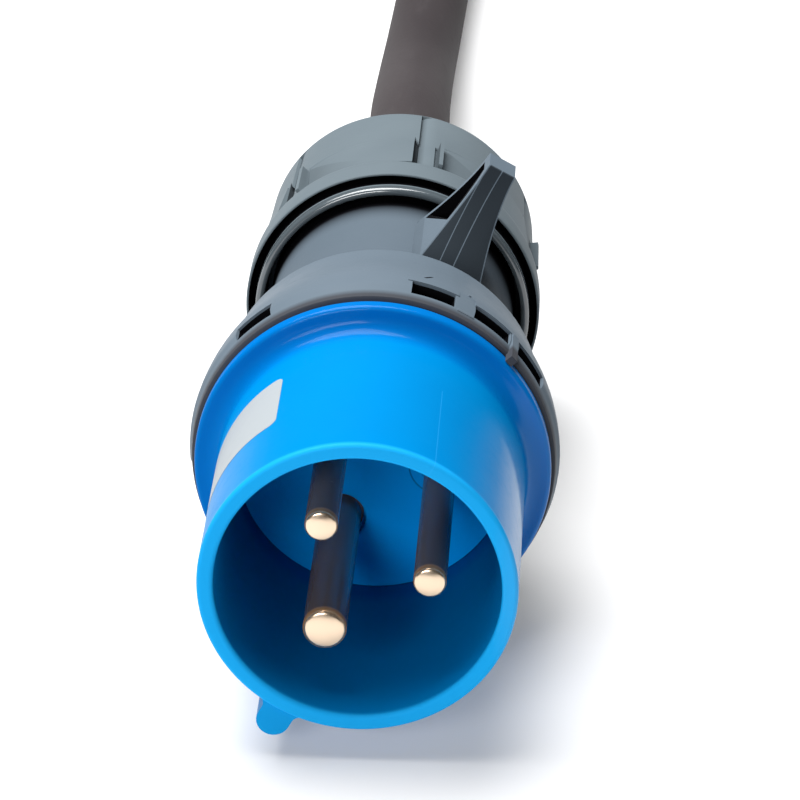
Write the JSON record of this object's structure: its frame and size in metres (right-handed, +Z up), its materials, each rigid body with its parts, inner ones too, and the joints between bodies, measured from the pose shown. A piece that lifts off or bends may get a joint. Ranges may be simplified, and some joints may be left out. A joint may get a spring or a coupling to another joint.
{
  "type": "industrial plug on an adapter lead",
  "caption": "Blue round-collar industrial plug with brass pins, grey slotted housing with a lug for a socket lid and a ribbed gland nut, on a short rubber lead with a lidded coupler.",
  "frame": {"origin": "on the floor under the middle of the plug, which lies on its widest ring", "axes": "+Y along the plug's axis from the pins towards the cable, +Z up"},
  "size_m": [0.07, 0.6807, 0.0766],
  "materials": {
    "blue_plastic": "semi-gloss moulded",
    "grey_plastic": "satin moulded",
    "cage_plastic": "natural",
    "brass": "turned, bright",
    "steel": "zinc plated",
    "rubber": "matt",
    "cable_rubber": "matt, slightly dusty",
    "green_yellow": "core insulation",
    "brown": "core insulation",
    "light_blue": "core insulation"
  },
  "bodies": {
    "plug": {"collar": "blue_plastic", "contact_carrier": "blue_plastic", "earth_pin": "brass", "line_pin": "brass", "neutral_pin": "brass", "terminal_screws": "steel", "housing_seal": "rubber", "rear_housing": "grey_plastic", "cable_seal": "rubber", "sheath_end": "cable_rubber", "earth_core": "green_yellow", "line_core": "brown", "neutral_core": "light_blue", "cable": "cable_rubber", "strain_relief": "rubber", "coupler_handle": "grey_plastic", "coupler_front": "blue_plastic", "earth_contact": "brass", "line_contact": "brass", "neutral_contact": "brass", "lid_pin": "steel", "lid_spring": "steel"},
    "cage": {"clamp_cage": "cage_plastic"},
    "nut": {"gland_nut": "grey_plastic"},
    "lid": {"coupler_lid": "blue_plastic", "lid_seal": "rubber"}
  },
  "joints": [
    {"name": "nut_travel", "type": "slide", "parent": "plug", "child": "cage", "axis": [0, 1, 0], "range_m": [0, 0.009]},
    {"name": "nut_turn", "type": "hinge", "parent": "cage", "child": "nut", "pos_m": [0, 0.06035, 0.035], "axis": [0, 1, 0], "range_deg": [0, 1080]},
    {"name": "lid_swing", "type": "hinge", "parent": "plug", "child": "lid", "pos_m": [0, 0.59065, 0.0615], "axis": [1, 0, 0], "range_deg": [0, 110], "stiffness_Nm_per_rad": 0.03, "springref_deg": -28.65}
  ],
  "couplings": [
    {"joint": "nut_travel", "follows": "nut_turn", "m_per_rad": 0.00047746}
  ]
}
